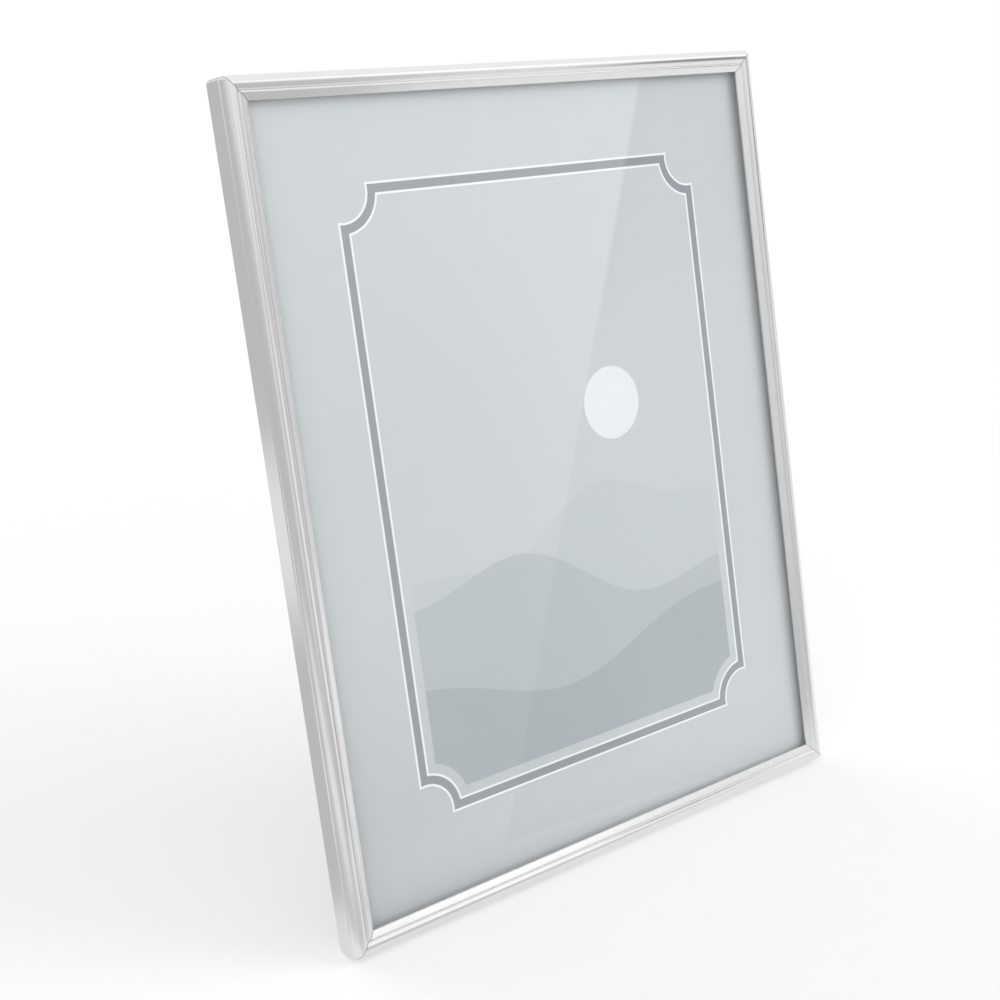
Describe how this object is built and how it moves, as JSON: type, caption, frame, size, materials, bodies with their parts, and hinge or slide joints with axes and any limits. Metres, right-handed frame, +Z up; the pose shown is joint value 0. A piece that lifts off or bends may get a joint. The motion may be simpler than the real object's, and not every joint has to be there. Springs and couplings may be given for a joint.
{
  "type": "picture frame",
  "caption": "Table-top picture frame with a mitred, beaded silver moulding, glazed front, back panel under turn buttons, folding easel strut and hanging ring.",
  "frame": {"origin": "on the table, under the middle of the frame's whole box with its strut open", "axes": "+X to the right as the picture is seen, +Y to the rear, +Z up"},
  "size_m": [0.208, 0.0662, 0.254],
  "materials": {
    "silver_moulding": "polished silver plate on roll-formed sheet",
    "clear_glass": "clear, flat",
    "printed_paper": "printed paper, satin",
    "grey_card": "raw grey card",
    "backing_board": "board with a flocked dark face",
    "zinc_hardware": "bright zinc plate"
  },
  "bodies": {
    "frame": {"rail_bottom": "silver_moulding", "rail_left": "silver_moulding", "rail_top": "silver_moulding", "rail_right": "silver_moulding", "corner_key_top_left": "zinc_hardware", "corner_key_top_right": "zinc_hardware", "corner_key_bottom_left": "zinc_hardware", "corner_key_bottom_right": "zinc_hardware", "glass_pane": "clear_glass", "photo_insert": "printed_paper", "filler_card": "grey_card", "back_panel": "backing_board", "turn_button_rivet_left_upper": "zinc_hardware", "turn_button_rivet_left_lower": "zinc_hardware", "turn_button_rivet_right_upper": "zinc_hardware", "turn_button_rivet_right_lower": "zinc_hardware", "turn_button_rivet_top_left": "zinc_hardware", "turn_button_rivet_top_right": "zinc_hardware", "turn_button_rivet_bottom_left": "zinc_hardware", "turn_button_rivet_bottom_right": "zinc_hardware", "hinge_leaf_fixed": "zinc_hardware", "hinge_pin": "zinc_hardware", "hinge_rivet_fixed_left": "zinc_hardware", "hinge_rivet_fixed_right": "zinc_hardware", "hanger_strap": "zinc_hardware", "hanger_rivet": "zinc_hardware"},
    "strut": {"easel_strut": "backing_board", "hinge_leaf_moving": "zinc_hardware", "hinge_rivet_moving_left": "zinc_hardware", "hinge_rivet_moving_right": "zinc_hardware"},
    "ring": {"hanger_ring": "zinc_hardware"},
    "button_left_upper": {"turn_button_left_upper": "zinc_hardware"},
    "button_left_lower": {"turn_button_left_lower": "zinc_hardware"},
    "button_right_upper": {"turn_button_right_upper": "zinc_hardware"},
    "button_right_lower": {"turn_button_right_lower": "zinc_hardware"},
    "button_top_left": {"turn_button_top_left": "zinc_hardware"},
    "button_top_right": {"turn_button_top_right": "zinc_hardware"},
    "button_bottom_left": {"turn_button_bottom_left": "zinc_hardware"},
    "button_bottom_right": {"turn_button_bottom_right": "zinc_hardware"}
  },
  "joints": [
    {"name": "strut_fold", "type": "hinge", "parent": "frame", "child": "strut", "pos_m": [0, 0.01868, 0.19444], "axis": [1, 0, 0], "range_deg": [-16, 0]},
    {"name": "ring_swing", "type": "hinge", "parent": "frame", "child": "ring", "pos_m": [0, 0.02744, 0.23552], "axis": [1, 0, 0], "range_deg": [-12, 160]},
    {"name": "turn_left_upper", "type": "hinge", "parent": "frame", "child": "button_left_upper", "pos_m": [-0.0871, 0.00889, 0.20163], "axis": [0, 0.9781, -0.2079], "continuous": true},
    {"name": "turn_left_lower", "type": "hinge", "parent": "frame", "child": "button_left_lower", "pos_m": [-0.0871, -0.0223, 0.05491], "axis": [0, 0.9781, -0.2079], "continuous": true},
    {"name": "turn_right_upper", "type": "hinge", "parent": "frame", "child": "button_right_upper", "pos_m": [0.0871, 0.00889, 0.20163], "axis": [0, 0.9781, -0.2079], "continuous": true},
    {"name": "turn_right_lower", "type": "hinge", "parent": "frame", "child": "button_right_lower", "pos_m": [0.0871, -0.0223, 0.05491], "axis": [0, 0.9781, -0.2079], "continuous": true},
    {"name": "turn_top_left", "type": "hinge", "parent": "frame", "child": "button_top_left", "pos_m": [-0.065, 0.0166, 0.23792], "axis": [0, 0.9781, -0.2079], "continuous": true},
    {"name": "turn_top_right", "type": "hinge", "parent": "frame", "child": "button_top_right", "pos_m": [0.065, 0.0166, 0.23792], "axis": [0, 0.9781, -0.2079], "continuous": true},
    {"name": "turn_bottom_left", "type": "hinge", "parent": "frame", "child": "button_bottom_left", "pos_m": [-0.065, -0.03001, 0.01862], "axis": [0, 0.9781, -0.2079], "continuous": true},
    {"name": "turn_bottom_right", "type": "hinge", "parent": "frame", "child": "button_bottom_right", "pos_m": [0.065, -0.03001, 0.01862], "axis": [0, 0.9781, -0.2079], "continuous": true}
  ]
}
